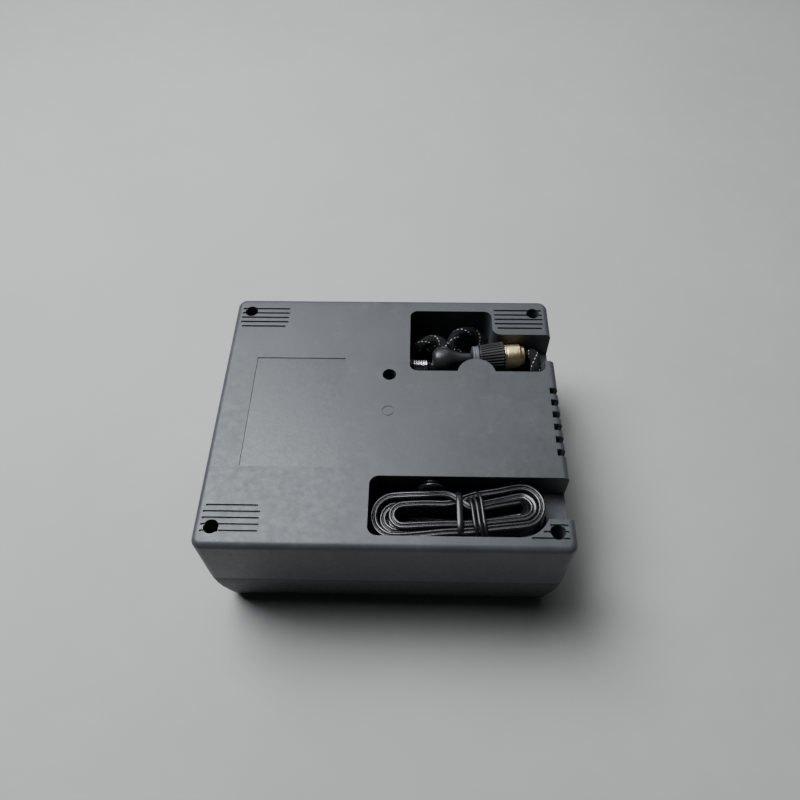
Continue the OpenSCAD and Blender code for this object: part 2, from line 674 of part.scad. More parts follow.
// ---------- lead and plug ----------
module lead_grommet() {
    color([0.12, 0.12, 0.12]) translate(grommet_at) rotate([90, 0, 0]) {
        translate([0, 0, -3.5]) cylinder(r = 5.2, h = 1.5);
        translate([0, 0, -3.5]) cylinder(r = 3.4, h = 8);
        cylinder(r = 5.6, h = 1.5);
        translate([0, 0, 2.9]) cylinder(r = 7.2, h = 1.6);
    }
}
module lead_tube() { color([0.1, 0.1, 0.1]) tube(entry_route, lead_w * 0.375, 8, [1, 0, 0]); }
module lead_tail() { color([0.1, 0.1, 0.1]) tube(smooth(tail_route), lead_w * 0.375, 8, [0, 1, 0]); }
module hank_outline(g) {
    hull() {
        translate([6.5, -60]) circle(13.6 + g);
        translate([41, -59]) circle(12.3 + g);
    }
    hull() {
        translate([41, -59]) circle(12.3 + g);
        translate([70.2, -55.3]) circle(12.9 + g);
    }
}
// the hank lies with its right-hand end raised
module hank_slab(g, above) {
    translate([hank_left, 0, hank_z0]) rotate([0, -hank_tilt, 0]) translate([-hank_left, 0, -above])
        linear_extrude(hank_z1 - hank_z0 + 2 * above) hank_outline(g);
}
module lead_hank() { color([0.1, 0.1, 0.1]) hank_slab(0, 0); }
module tie(x0, x1) {
    difference() {
        intersection() {
            hank_slab(tie_proud, tie_proud);
            box(x0, -90, 0, x1, -30, 90);
        }
        hank_slab(0, 0);
    }
}
module tie_left() { color([0.08, 0.08, 0.08]) tie(34.6, 37.4); }
module tie_right() { color([0.08, 0.08, 0.08]) for (x = [43, 45.5, 48]) tie(x, x + 2.2); }
module along_plug(x) { along_x(x, plug_y, plug_z) children(); }
module plug_body() {
    color([0.1, 0.1, 0.1]) difference() {
        union() {
            along_plug(8) cylinder(r1 = 9.6, r2 = plug_r, h = 3);
            along_plug(11) cylinder(r = plug_r, h = 41);
            along_plug(52) cylinder(r1 = plug_r, r2 = 7, h = 10);
            along_plug(62) cylinder(r1 = 4.5, r2 = 3, h = 12);
        }
        along_plug(7) cylinder(r = 4.2, h = 43);
        for (s = [-1, 1]) contact_slot(s, 0.15, 0);
    }
}
module contact_slot(s, g, out) {
    intersection() {
        translate([0, plug_y + s * (7 + out), 0])
            box(18 - g, s > 0 ? -0.6 : -3.4 - 3, plug_z - 2 - g, 34 + g, s > 0 ? 3.4 + 3 : 0.6, plug_z + 2 + g);
        along_plug(0) cylinder(r = plug_r + (out > 0 ? 1.6 : 4), h = 60);
    }
}
module plug_contact(s) { intersection() { contact_slot(s, 0, 1.4); box(0, -80, 0, 60, -30, 90); } }
module plug_contact_far() { color("silver") plug_contact(1); }
module plug_contact_near() { color("silver") plug_contact(-1); }
module plug_nose() {
    color([0.12, 0.12, 0.12]) difference() {
        union() {
            along_plug(-2) cylinder(r1 = 6.5, r2 = 8, h = 4);
            along_plug(2) cylinder(r = 8, h = 6);
        }
        along_plug(-3) cylinder(r = 2.8, h = 4);
        along_plug(0.5) cylinder(r = 3.5, h = 12);
    }
}
module plug_tip() {
    color("silver") {
        along_plug(-5.2) cylinder(r1 = 1.6, r2 = 2.7, h = 1.6);
        along_plug(-3.6) cylinder(r = 2.7, h = 4.2);
        along_plug(0.6) cylinder(r = 3.3, h = 1);
    }
}
module plug_fuse() { color([0.8, 0.85, 0.85]) along_plug(1.6) cylinder(r = 3.1, h = 28); }
module plug_spring() {
    color("silver") along_plug(32.2) rotate_extrude() {
        translate([2.4, 0]) square([0.8, 17.8]);
        for (k = [0 : 8]) translate([3.2, 0.9 + 2 * k]) circle(0.8, $fn = 16);
    }
}

base_cover();
top_housing();
case_screws();
gauge_case();
gauge_tube();
gauge_dial();
gauge_needle();
gauge_lens();
gauge_bezel();
switch_frame();
switch_rocker();
switch_contacts();
pump_frame();
frame_screws();
crank_gear();
crank_shaft();
crank_pin();
motor_can();
motor_endcap();
motor_magnets();
motor_brushes();
armature_core();
armature_winding();
commutator();
motor_shaft();
pinion();
piston_rod();
rod_bearing();
piston_cup();
pump_cylinder();
cylinder_head();
reed_valve();
head_screws();
air_tee();
pump_hose();
gauge_hose();
inner_wires();
hose_gland();
hose_spring();
air_hose();
chuck_boot();
chuck_collar();
chuck_grip();
chuck_nut();
chuck_washer();
chuck_pin();
lead_grommet();
lead_tube();
lead_hank();
lead_tail();
tie_left();
tie_right();
plug_body();
plug_nose();
plug_tip();
plug_contact_far();
plug_contact_near();
plug_spring();
plug_fuse();
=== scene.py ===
import json
import math
import random
import bpy
from mathutils import Matrix, Vector


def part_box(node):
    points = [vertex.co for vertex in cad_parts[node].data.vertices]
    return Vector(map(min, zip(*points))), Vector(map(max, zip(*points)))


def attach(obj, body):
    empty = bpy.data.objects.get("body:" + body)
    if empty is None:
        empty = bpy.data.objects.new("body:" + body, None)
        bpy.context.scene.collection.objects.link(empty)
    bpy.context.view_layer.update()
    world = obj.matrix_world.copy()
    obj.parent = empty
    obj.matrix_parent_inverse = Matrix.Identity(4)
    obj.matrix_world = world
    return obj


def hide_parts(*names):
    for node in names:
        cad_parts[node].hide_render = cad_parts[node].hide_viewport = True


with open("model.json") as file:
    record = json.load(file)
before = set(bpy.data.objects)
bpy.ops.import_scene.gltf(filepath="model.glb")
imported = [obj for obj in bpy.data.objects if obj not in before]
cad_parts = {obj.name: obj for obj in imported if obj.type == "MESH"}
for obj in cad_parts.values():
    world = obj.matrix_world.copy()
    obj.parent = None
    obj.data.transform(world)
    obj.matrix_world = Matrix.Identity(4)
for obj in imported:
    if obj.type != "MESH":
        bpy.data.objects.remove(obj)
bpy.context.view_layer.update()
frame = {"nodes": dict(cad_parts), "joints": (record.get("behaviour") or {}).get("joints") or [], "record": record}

MM = 0.001
nodes = frame["nodes"]
joints = {j["name"]: j for j in frame["joints"]}


def mm(*v):
    """A point given in millimetres, as a vector in metres."""
    return Vector(v) * MM


# ---------------------------------------------------------------- camera, lights, floor
def make_camera():
    """The camera stands in front of the long side and looks down at about 55 degrees."""
    pitch, yaw, roll = math.radians(55.0), math.radians(-2.108), math.radians(1.09)
    place = Vector((0.014584, -0.215433, 0.396807))
    forward = Vector((math.sin(yaw) * math.cos(pitch), math.cos(yaw) * math.cos(pitch), -math.sin(pitch)))
    right = Vector((math.cos(yaw), -math.sin(yaw), 0.0))
    down = forward.cross(right)
    cr, sr = math.cos(roll), math.sin(roll)
    x_axis = cr * right + sr * down
    y_axis = sr * right - cr * down
    data = bpy.data.cameras.new("camera")
    data.sensor_width = 36.0
    data.lens = 31.32
    data.clip_start = 0.005
    cam = bpy.data.objects.new("camera", data)
    rot = Matrix((x_axis, y_axis, -forward)).transposed()
    cam.matrix_world = Matrix.Translation(place) @ rot.to_4x4()
    bpy.context.scene.collection.objects.link(cam)
    bpy.context.scene.camera = cam


def area_light(name, place, target, size, power, colour=(1, 1, 1)):
    data = bpy.data.lights.new(name, "AREA")
    data.shape = "RECTANGLE"
    data.size, data.size_y = size
    data.energy = power
    data.color = colour
    lamp = bpy.data.objects.new(name, data)
    lamp.location = place
    lamp.rotation_euler = (Vector(target) - Vector(place)).to_track_quat("-Z", "Y").to_euler()
    bpy.context.scene.collection.objects.link(lamp)


def make_lights():
    centre = (0.0, 0.0, 0.06)
    area_light("sky_panel", (-0.52, 0.34, 1.10), centre, (0.8, 0.65), 23.0, (0.94, 0.97, 1.0))
    area_light("back_panel", (0.1, 0.95, 0.75), centre, (1.0, 0.6), 2.5, (0.94, 0.97, 1.0))
    area_light("top_panel", (-0.2, 0.25, 1.2), centre, (0.7, 0.5), 4.0, (0.95, 0.98, 1.0))
    area_light("front_fill", (-0.5, -1.1, 0.5), centre, (0.9, 0.6), 0.02, (1.0, 0.97, 0.94))
    world = bpy.data.worlds.new("studio")
    bpy.context.scene.world = world
    world.use_nodes = True
    back = world.node_tree.nodes["Background"]
    back.inputs["Color"].default_value = (0.80, 0.86, 0.93, 1.0)
    back.inputs["Strength"].default_value = 0.02


# ---------------------------------------------------------------- materials
class Shader:
    """A small builder for one procedural material."""

    def __init__(self, name):
        self.mat = bpy.data.materials.new(name)
        self.mat.use_nodes = True
        self.tree = self.mat.node_tree
        self.bsdf = self.tree.nodes["Principled BSDF"]
        self.coords = self.add("ShaderNodeTexCoord").outputs["Object"]
        self.normal = None

    def add(self, kind, **settings):
        node = self.tree.nodes.new(kind)
        for key, value in settings.items():
            setattr(node, key, value)
        return node

    def link(self, a, b):
        self.tree.links.new(a, b)

    def noise(self, scale, detail=4.0, rough=0.55, distort=0.0, coords=None, stretch=None):
        tex = self.add("ShaderNodeTexNoise")
        tex.inputs["Scale"].default_value = scale
        tex.inputs["Detail"].default_value = detail
        tex.inputs["Roughness"].default_value = rough
        tex.inputs["Distortion"].default_value = distort
        source = coords or self.coords
        if stretch:
            place = self.add("ShaderNodeMapping")
            place.inputs["Scale"].default_value = stretch
            self.link(source, place.inputs["Vector"])
            source = place.outputs["Vector"]
        self.link(source, tex.inputs["Vector"])
        return tex.outputs["Fac"]

    def spread(self, value, low, high, to_low=0.0, to_high=1.0):
        node = self.add("ShaderNodeMapRange")
        for key, number in zip(("From Min", "From Max", "To Min", "To Max"), (low, high, to_low, to_high)):
            node.inputs[key].default_value = number
        self.link(value, node.inputs["Value"])
        return node.outputs["Result"]

    def math(self, operation, a, b=None, clamp=False):
        node = self.add("ShaderNodeMath", operation=operation, use_clamp=clamp)
        for i, item in enumerate((a, b)):
            if item is None:
                continue
            if isinstance(item, (int, float)):
                node.inputs[i].default_value = item
            else:
                self.link(item, node.inputs[i])
        return node.outputs[0]

    def mix(self, factor, a, b):
        node = self.add("ShaderNodeMix", data_type="RGBA")
        for socket, item in ((node.inputs[0], factor), (node.inputs[6], a), (node.inputs[7], b)):
            if isinstance(item, tuple):
                socket.default_value = (*item, 1.0)
            elif isinstance(item, (int, float)):
                socket.default_value = item
            else:
                self.link(item, socket)
        return node.outputs[2]

    def bump(self, height, strength, distance):
        node = self.add("ShaderNodeBump")
        node.inputs["Strength"].default_value = strength
        node.inputs["Distance"].default_value = distance
        self.link(height, node.inputs["Height"])
        if self.normal is not None:
            self.link(self.normal, node.inputs["Normal"])
        self.normal = node.outputs["Normal"]
        self.link(self.normal, self.bsdf.inputs["Normal"])

    def set(self, **values):
        for key, value in values.items():
            socket = self.bsdf.inputs[key.replace("_", " ")]
            if isinstance(value, tuple):
                socket.default_value = (*value, 1.0)
            elif isinstance(value, (int, float)):
                socket.default_value = value
            else:
                self.link(value, socket)


def surface(name, colour, rough, metallic=0.0, mottle=0.12, mottle_scale=60.0, grain=None, scuffs=0.0,
            rough_spread=0.08, dust=0.0, **extra):
    """A general moulded or machined surface: mottled colour, uneven roughness, fine grain and scuffs."""
    s = Shader(name)
    broad = s.noise(mottle_scale, 5.0)
    fine = s.noise(mottle_scale * 9, 3.0)
    both = s.math("ADD", s.math("MULTIPLY", broad, 0.7), s.math("MULTIPLY", fine, 0.3))
    dark = tuple(c * (1 - mottle) for c in colour)
    light = tuple(min(1, c * (1 + mottle) + 0.004) for c in colour)
    base = s.mix(s.spread(both, 0.35, 0.65), dark, light)
    if dust:
        lay = s.spread(s.noise(mottle_scale * 2.7, 8.0, 0.7), 0.56, 0.74, 0.0, dust)
        base = s.mix(lay, base, (0.25, 0.25, 0.24))
    if scuffs:
        lines = s.noise(240.0, 6.0, 0.6, 0.6, stretch=(1.0, 7.0, 4.0))
        marks = s.spread(lines, 0.64, 0.72, 0.0, scuffs)
        base = s.mix(marks, base, light)
    s.set(Base_Color=base, Metallic=metallic)
    s.set(Roughness=s.spread(fine, 0.3, 0.7, rough - rough_spread, rough + rough_spread))
    for scale, distance in grain or ():
        s.bump(s.noise(scale, 2.0), 1.0, distance)
    s.set(**extra)
    return s


def case_plastic(name, colour, rough):
    """Spark-textured ABS with a soft sheen, a little dust and handling marks."""
    s = surface(name, colour, rough, mottle=0.10, mottle_scale=34.0, scuffs=0.16, dust=0.10,
                grain=[(2600.0, 0.000035), (900.0, 0.00003), (70.0, 0.00007)], rough_spread=0.06)
    return s


RECESS_X = (-0.0772, -0.0256)
RECESS_Y = (-0.0368, 0.0357)
RECESS_FLOOR = 0.0790


def base_plastic():
    """The base cover: grained all over, with the label recess left smoother and blotchy."""
    s = case_plastic("case_base_plastic", (0.052, 0.056, 0.063), 0.44)
    split = s.add("ShaderNodeSeparateXYZ")
    s.link(s.coords, split.inputs["Vector"])
    x, y, z = split.outputs
    # mask of the label recess, in metres
    in_x = s.math("MULTIPLY", s.math("GREATER_THAN", x, RECESS_X[0]), s.math("LESS_THAN", x, RECESS_X[1]))
    in_y = s.math("MULTIPLY", s.math("GREATER_THAN", y, RECESS_Y[0]), s.math("LESS_THAN", y, RECESS_Y[1]))
    high = s.math("GREATER_THAN", z, RECESS_FLOOR)
    mask = s.math("MULTIPLY", s.math("MULTIPLY", in_x, in_y), high)
    blotch = s.spread(s.noise(420.0, 4.0, 0.6, 0.8), 0.35, 0.65)
    old_colour = s.bsdf.inputs["Base Color"].links[0].from_socket
    label = s.mix(blotch, (0.038, 0.042, 0.048), (0.050, 0.055, 0.062))
    s.set(Base_Color=s.mix(mask, old_colour, label))
    old_rough = s.bsdf.inputs["Roughness"].links[0].from_socket
    label_rough = s.spread(blotch, 0.0, 1.0, 0.33, 0.41)
    pick = s.add("ShaderNodeMix", data_type="FLOAT")
    s.link(mask, pick.inputs[0])
    s.link(old_rough, pick.inputs[2])
    s.link(label_rough, pick.inputs[3])
    s.set(Roughness=pick.outputs[0])
    return s


def braided():
    """Black braid over rubber: crossing strands, some of them pale, shown as rows of short flecks."""
    s = Shader("hose_braid")
    uv = s.add("ShaderNodeTexCoord").outputs["UV"]
    split = s.add("ShaderNodeSeparateXYZ")
    s.link(uv, split.inputs["Vector"])
    around = s.math("MULTIPLY", split.outputs["X"], BRAID_STRANDS)
    along = s.math("MULTIPLY", split.outputs["Y"], BRAID_PER_METRE)
    a = s.math("ADD", around, along)
    b = s.math("SUBTRACT", around, along)
    over = s.math("FLOORED_MODULO", s.math("ADD", s.math("FLOOR", a), s.math("FLOOR", b)), 2.0)
    tracer_a = s.math("LESS_THAN", s.math("FLOORED_MODULO", s.math("FLOOR", a), 5.0), 0.5)
    fa = s.math("FRACT", a)
    fb = s.math("FRACT", b)
    wander = s.spread(s.noise(700.0, 2.0), 0.3, 0.7, -0.12, 0.12)
    middle = s.math("ADD", fa, wander)
    across = s.math("MULTIPLY", s.math("GREATER_THAN", middle, 0.30), s.math("LESS_THAN", middle, 0.72))
    fleck = s.math("MULTIPLY", s.math("MULTIPLY", tracer_a, over), across)
    fine = s.noise(3000.0, 3.0)
    black = s.mix(s.spread(fine, 0.3, 0.7), (0.004, 0.004, 0.0045), (0.012, 0.012, 0.013))
    pale = s.mix(s.spread(fine, 0.3, 0.7), (0.26, 0.26, 0.25), (0.62, 0.62, 0.60))
    s.set(Base_Color=s.mix(fleck, black, pale), Roughness=s.spread(fine, 0.3, 0.7, 0.6, 0.8))
    s.set(Sheen_Weight=0.02, Sheen_Roughness=0.4, Specular_IOR_Level=0.14)
    # the strands stand up along their own middle
    crown_a = s.math("SINE", s.math("MULTIPLY", fa, math.pi))
    crown_b = s.math("SINE", s.math("MULTIPLY", fb, math.pi))
    pick = s.add("ShaderNodeMix", data_type="FLOAT")
    s.link(over, pick.inputs[0])
    s.link(crown_b, pick.inputs[2])
    s.link(crown_a, pick.inputs[3])
    s.bump(pick.outputs[0], 0.8, 0.00025)
    s.bump(s.noise(5000.0, 2.0), 0.6, 0.00003)
    return s


def brushed_metal(name, colour, rough, stretch=(16.0, 1.0, 1.0), grain_depth=0.000004, **extra):
    """Turned or drawn metal, with fine lines across the stretch and faint tarnish."""
    s = surface(name, colour, rough, metallic=1.0, mottle=0.07, mottle_scale=60.0, rough_spread=0.05)
    s.bump(s.noise(60.0, 2.0, stretch=stretch), 0.3, grain_depth)
    s.set(**extra)
    return s


DIAL_AT = Vector((-58.0, -42.0, 0.0))
DIAL_START, DIAL_SWEEP, DIAL_STEPS = 180.0, 270.0, 50
DIAL_FACE = 6.75
TICK_LONG_R, TICK_SHORT_R, TICK_OUTER_R = 17.2, 18.8, 20.4
NUMBER_SIZE, NUMBER_R = 4.4, 13.6
BRAID_STRANDS = 15
BRAID_PER_METRE = 560.0


def make_materials():
    m = {}
    m["case_base"] = base_plastic()
    m["case_top"] = case_plastic("case_top_plastic", (0.020, 0.021, 0.023), 0.5)
    m["steel"] = brushed_metal("zinc_steel", (0.62, 0.62, 0.64), 0.32)
    m["black_plastic"] = surface("black_plastic", (0.020, 0.020, 0.022), 0.42,
                                 grain=[(1500.0, 0.00002)], scuffs=0.1)
    m["chrome"] = surface("chrome", (0.82, 0.83, 0.86), 0.13, metallic=1.0, mottle=0.05, mottle_scale=200.0,
                          rough_spread=0.05, grain=[(900.0, 0.000006)])
    m["brass"] = brushed_metal("turned_brass", (0.96, 0.76, 0.44), 0.36, grain_depth=0.0000012)
    m["dial"] = surface("dial_card", (0.78, 0.78, 0.75), 0.5, mottle=0.04, grain=[(1200.0, 0.00001)])
    m["red_plastic"] = surface("red_plastic", (0.55, 0.02, 0.015), 0.28, mottle=0.06,
                               grain=[(600.0, 0.00001)])
    m["aluminium"] = brushed_metal("die_cast", (0.66, 0.67, 0.69), 0.42)
    m["nylon"] = surface("nylon", (0.72, 0.70, 0.62), 0.38, mottle=0.05, grain=[(500.0, 0.00002)],
                         Subsurface_Weight=0.1, Subsurface_Scale=0.002)
    m["motor_steel"] = brushed_metal("motor_steel", (0.55, 0.56, 0.58), 0.33)
    m["ferrite"] = surface("ferrite", (0.05, 0.05, 0.055), 0.6, grain=[(1500.0, 0.00003)])
    m["copper"] = brushed_metal("copper_wire", (0.75, 0.33, 0.16), 0.3)
    m["rubber"] = surface("black_rubber", (0.012, 0.012, 0.013), 0.27, mottle=0.15,
                          grain=[(1400.0, 0.00003)], dust=0.05)
    m["hose"] = braided()
    m["boot"] = surface("boot_rubber", (0.018, 0.0185, 0.021), 0.36, mottle=0.14, scuffs=0.1,
                        grain=[(1200.0, 0.00002), (300.0, 0.00002)])
    m["collar"] = surface("collar_plastic", (0.105, 0.110, 0.12), 0.45, mottle=0.10,
                          grain=[(1200.0, 0.00002)], scuffs=0.2)
    m["grip"] = surface("grip_plastic", (0.010, 0.010, 0.011), 0.50, mottle=0.16, grain=[(1500.0, 0.00003)],
                        scuffs=0.2, dust=0.05, Specular_IOR_Level=0.35)
    m["lead"] = surface("lead_vinyl", (0.007, 0.007, 0.008), 0.27, mottle=0.15, mottle_scale=24.0,
                        grain=[(40.0, 0.000004)], dust=0.03, rough_spread=0.03,
                        Coat_Weight=0.3, Coat_Roughness=0.2)
    m["tie"] = surface("tie_vinyl", (0.008, 0.008, 0.010), 0.30, mottle=0.15, mottle_scale=24.0,
                       grain=[(40.0, 0.000004)], rough_spread=0.03)
    lens = surface("clear_lens", (0.92, 0.95, 0.96), 0.05, mottle=0.01,
                   rough_spread=0.02, grain=[(200.0, 0.000004)])
    lens.set(Transmission_Weight=0.95, IOR=1.49)
    m["lens"] = lens
    return {key: value.mat for key, value in m.items()}


# ---------------------------------------------------------------- mesh helpers
def new_object(name, mesh):
    obj = bpy.data.objects.new(name, mesh)
    bpy.context.scene.collection.objects.link(obj)
    return obj


def finish_piece(obj, slot, body="case", replaces=(), smooth=True):
    for p in obj.data.polygons:
        p.use_smooth = smooth
    obj.data.materials.clear()
    obj.data.materials.append(materials[slot])
    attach(obj, body)
    if replaces:
        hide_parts(*replaces)
    return obj


def mesh_from(name, verts, faces, uvs=None):
    mesh = bpy.data.meshes.new(name)
    mesh.from_pydata([tuple(v) for v in verts], [], faces)
    mesh.validate()
    if uvs is not None:
        layer = mesh.uv_layers.new(name="UVMap")
        for poly in mesh.polygons:
            for loop in poly.loop_indices:
                layer.data[loop].uv = uvs(poly, mesh.loops[loop].vertex_index)
    mesh.update()
    return mesh


def catmull(points, per, closed=False):
    """A smooth curve through the points, with `per` steps on each stretch."""
    n = len(points)
    out = []
    spans = n if closed else n - 1
    for i in range(spans):
        if closed:
            p0, p1, p2, p3 = (points[(i + k) % n] for k in (-1, 0, 1, 2))
        else:
            p1, p2 = points[i], points[i + 1]
            p0 = points[i - 1] if i > 0 else p1 + (p1 - p2)
            p3 = points[i + 2] if i + 2 < n else p2 + (p2 - p1)
        for k in range(per):
            t = k / per
            a = -0.5 * t + t * t - 0.5 * t ** 3
            b = 1 - 2.5 * t * t + 1.5 * t ** 3
            c = 0.5 * t + 2 * t * t - 1.5 * t ** 3
            d = -0.5 * t * t + 0.5 * t ** 3
            out.append(p0 * a + p1 * b + p2 * c + p3 * d)
    if not closed:
        out.append(points[-1].copy())
    return out


def path_length(path):
    return sum((b - a).length for a, b in zip(path, path[1:]))


def resample(path, step):
    """Points evenly spaced along a path."""
    total = path_length(path)
    count = max(2, round(total / step))
    out, i, done = [path[0].copy()], 0, 0.0
    for k in range(1, count):
        want = total * k / count
        while done + (path[i + 1] - path[i]).length < want:
            done += (path[i + 1] - path[i]).length
            i += 1
        seg = path[i + 1] - path[i]
        out.append(path[i] + seg * ((want - done) / seg.length))
    out.append(path[-1].copy())
    return out


def frames(path, up=None, closed=False):
    """Tangent, side and up vectors along a path, turned as little as possible."""
    n = len(path)
    tangents = []
    for i in range(n):
        a = path[i - 1] if (i > 0 or closed) else path[0]
        b = path[(i + 1) % n] if (i + 1 < n or closed) else path[-1]
        tangents.append((b - a).normalized())
    start = up or Vector((0, 0, 1))
    out = []
    for t in tangents:
        if up is not None:
            start = up
        u = (start - t * start.dot(t))
        if u.length < 1e-6:
            u = t.orthogonal()
        u.normalize()
        out.append((t, t.cross(u).normalized(), u))
        start = u
    return out


def sweep(name, path, profile, up=None, closed=False, uv_round=1.0, caps=True):
    """A tube through the path. profile(i, s) lists the section's (side, up) offsets at distance s."""
    fr = frames(path, up, closed)
    verts = []
    dist = [0.0]
    for a, b in zip(path, path[1:]):
        dist.append(dist[-1] + (b - a).length)
    for i, (p, (t, side, u)) in enumerate(zip(path, fr)):
        section = profile(i, dist[i])
        for x, y in section:
            verts.append(p + side * x + u * y)
        count = len(section)
    faces = []
    rings = len(path)
    for i in range(rings if closed else rings - 1):
        j = (i + 1) % rings
        for k in range(count):
            l = (k + 1) % count
            faces.append((i * count + k, i * count + l, j * count + l, j * count + k))
    if caps and not closed:
        faces.append(tuple(reversed(range(count))))
        faces.append(tuple((rings - 1) * count + k for k in range(count)))

    def uv(poly, index):
        ring, k = divmod(index, count)
        columns = {v % count for v in poly.vertices}
        if k == 0 and count - 1 in columns and len(poly.vertices) == 4:
            k = count
        return (k / count * uv_round, dist[ring])

    return mesh_from(name, verts, faces, uv)


def circle_profile(r, sides):
    angles = [2 * math.pi * k / sides for k in range(sides)]
    ring = [(r * math.cos(a), r * math.sin(a)) for a in angles]
    return lambda i, s: ring


def revolve(name, profile, origin, axis, sides=64, ripple=None):
    """A turned piece. profile lists (distance along the axis, radius), in millimetres."""
    axis = Vector(axis).normalized()
    u = Vector((0, 0, 1)) if abs(axis.z) < 0.9 else Vector((1, 0, 0))
    u = (u - axis * u.dot(axis)).normalized()
    w = axis.cross(u)
    verts = []
    for j, (along, radius) in enumerate(profile):
        for k in range(sides):
            a = 2 * math.pi * k / sides
            r = radius + (ripple(along, radius, a) if ripple else 0.0)
            verts.append(origin + (axis * along + (u * math.cos(a) + w * math.sin(a)) * r) * MM)
    faces = []
    for j in range(len(profile) - 1):
        for k in range(sides):
            l = (k + 1) % sides
            faces.append((j * sides + k, j * sides + l, (j + 1) * sides + l, (j + 1) * sides + k))
    last = (len(profile) - 1) * sides
    faces.append(tuple(reversed(range(sides))))
    faces.append(tuple(last + k for k in range(sides)))
    return mesh_from(name, verts, faces)


def rounded(points, radius, steps=4):
    """The profile's points with each inner corner rounded off."""
    out = [points[0]]
    for p, q, r in zip(points, points[1:], points[2:]):
        a, b, c = Vector(p), Vector(q), Vector(r)
        da, dc = (a - b).length, (c - b).length
        cut = min(radius, da * 0.45, dc * 0.45)
        s, e = b + (a - b).normalized() * cut, b + (c - b).normalized() * cut
        for k in range(steps + 1):
            t = k / steps
            out.append(tuple(s * (1 - t) ** 2 + b * 2 * t * (1 - t) + e * t * t))
    out.append(points[-1])
    return out


def smooth_by_angle():
    """A modifier tree: joins split corners, then shades smooth below 30 degrees."""
    tree = bpy.data.node_groups.new("smooth_by_angle", "GeometryNodeTree")
    tree.interface.new_socket("Geometry", in_out="INPUT", socket_type="NodeSocketGeometry")
    tree.interface.new_socket("Geometry", in_out="OUTPUT", socket_type="NodeSocketGeometry")
    start = tree.nodes.new("NodeGroupInput")
    end = tree.nodes.new("NodeGroupOutput")
    merge = tree.nodes.new("GeometryNodeMergeByDistance")
    merge.inputs["Distance"].default_value = 2e-6
    faces = tree.nodes.new("GeometryNodeSetShadeSmooth")
    faces.domain = "FACE"
    angle = tree.nodes.new("GeometryNodeInputMeshEdgeAngle")
    sharp = tree.nodes.new("FunctionNodeCompare")
    sharp.operation = "GREATER_THAN"
    sharp.inputs[1].default_value = math.radians(30)
    edges = tree.nodes.new("GeometryNodeSetShadeSmooth")
    edges.domain = "EDGE"
    edges.inputs["Shade Smooth"].default_value = False
    link = tree.links.new
    link(start.outputs[0], merge.inputs["Geometry"])
    link(merge.outputs[0], faces.inputs["Geometry"])
    link(faces.outputs[0], edges.inputs["Geometry"])
    link(angle.outputs["Unsigned Angle"], sharp.inputs[0])
    link(sharp.outputs[0], edges.inputs["Selection"])
    link(edges.outputs[0], end.inputs[0])
    return tree


# ---------------------------------------------------------------- cords
HOSE_D = 6.4
CORE_D = 2.0
HOSE_ROUTE = [
    (13, 46, 58.5), (19, 46, 58.5), (25, 46, 58), (31, 46, 56.5), (39, 45.5, 52), (48, 44, 45.5),
    (58, 42, 41), (68, 43, 41.5), (76, 47, 47), (81.5, 50.5, 56), (83.8, 50.5, 64.5), (84.6, 47.5, 70.5),
    (85.6, 42, 72), (85.8, 36, 70), (85.5, 32.2, 63), (83, 30.5, 54), (76, 30.5, 44.5), (65, 30.5, 39),
    (52, 30.5, 37.5), (38, 30.5, 37.5), (25, 31.5, 37.5), (16.5, 38, 37.8), (15, 48, 38),
    (15.5, 58, 38.2), (20.5, 66, 38.8), (30, 69, 39.5), (42, 69, 40.5), (52, 66, 42.5),
    (56.5, 58.5, 45.5), (53, 51, 50), (45, 50, 55.5), (38, 53, 61), (37, 60, 65.5), (42, 66.5, 67),
    (50, 68.5, 65), (56, 65.5, 59.5), (55.5, 61, 53.5), (48, 62, 50), (38, 65.5, 49),
    (27, 67.5, 50), (18, 64.5, 53), (15.2, 59, 58.5), (17, 57, 64.5), (22.5, 59, 68),
    (28, 58.8, 68.6), (31.6, 55.8, 68.3), (32, 51.5, 68),
]
TAIL_ROUTE = [(79, -56.2, 59.3), (79.8, -56.1, 55), (80.2, -56.6, 49.5), (78, -57.4, 45.4), (74, -58, 44.4)]
ENTRY = (24, -46, 71.5)
HANK_LOW = 56.0
HANK_LEFT = -7.1
HANK_TILT = math.radians(3.2)


def make_hose():
    route = catmull([mm(*p) for p in HOSE_ROUTE], 8)
    path = resample(route, 0.00055)
    sides = 32

    def braid(i, s):
        ring = []
        for k in range(sides):
            u = k / sides
            a = u * BRAID_STRANDS + s * BRAID_PER_METRE
            b = u * BRAID_STRANDS - s * BRAID_PER_METRE
            lift = 0.05 * (math.cos(2 * math.pi * a) + math.cos(2 * math.pi * b))
            r = (HOSE_D / 2 + lift - 0.05) * MM
            ring.append((r * math.cos(2 * math.pi * u), r * math.sin(2 * math.pi * u)))
        return ring

    hose = new_object("air_hose_braid", sweep("air_hose_braid", path, braid))
    return finish_piece(hose, "hose", replaces=["air_hose"]), resample(route, 0.004)


LEFT_LOBE = Vector((6.5, -60.0))
RIGHT_LOBE = Vector((70.2, -55.3))
WAIST = Vector((41.0, -59.0))
LEFT_R, WAIST_R, RIGHT_R = 13.6, 12.3, 12.9
OUTER, INNER, HOLE = 2.1, 6.3, 9.9


def tilted(p):
    """A point of the flat hank, with the hank's right-hand end raised."""
    x, z = p.x - HANK_LEFT, p.z - HANK_LOW
    c, s = math.cos(HANK_TILT), math.sin(HANK_TILT)
    return Vector((HANK_LEFT + x * c - z * s, p.y, HANK_LOW + x * s + z * c))


def arc(centre, radius, angles):
    return [centre + Vector((math.cos(math.radians(a)), math.sin(math.radians(a)))) * radius for a in angles]


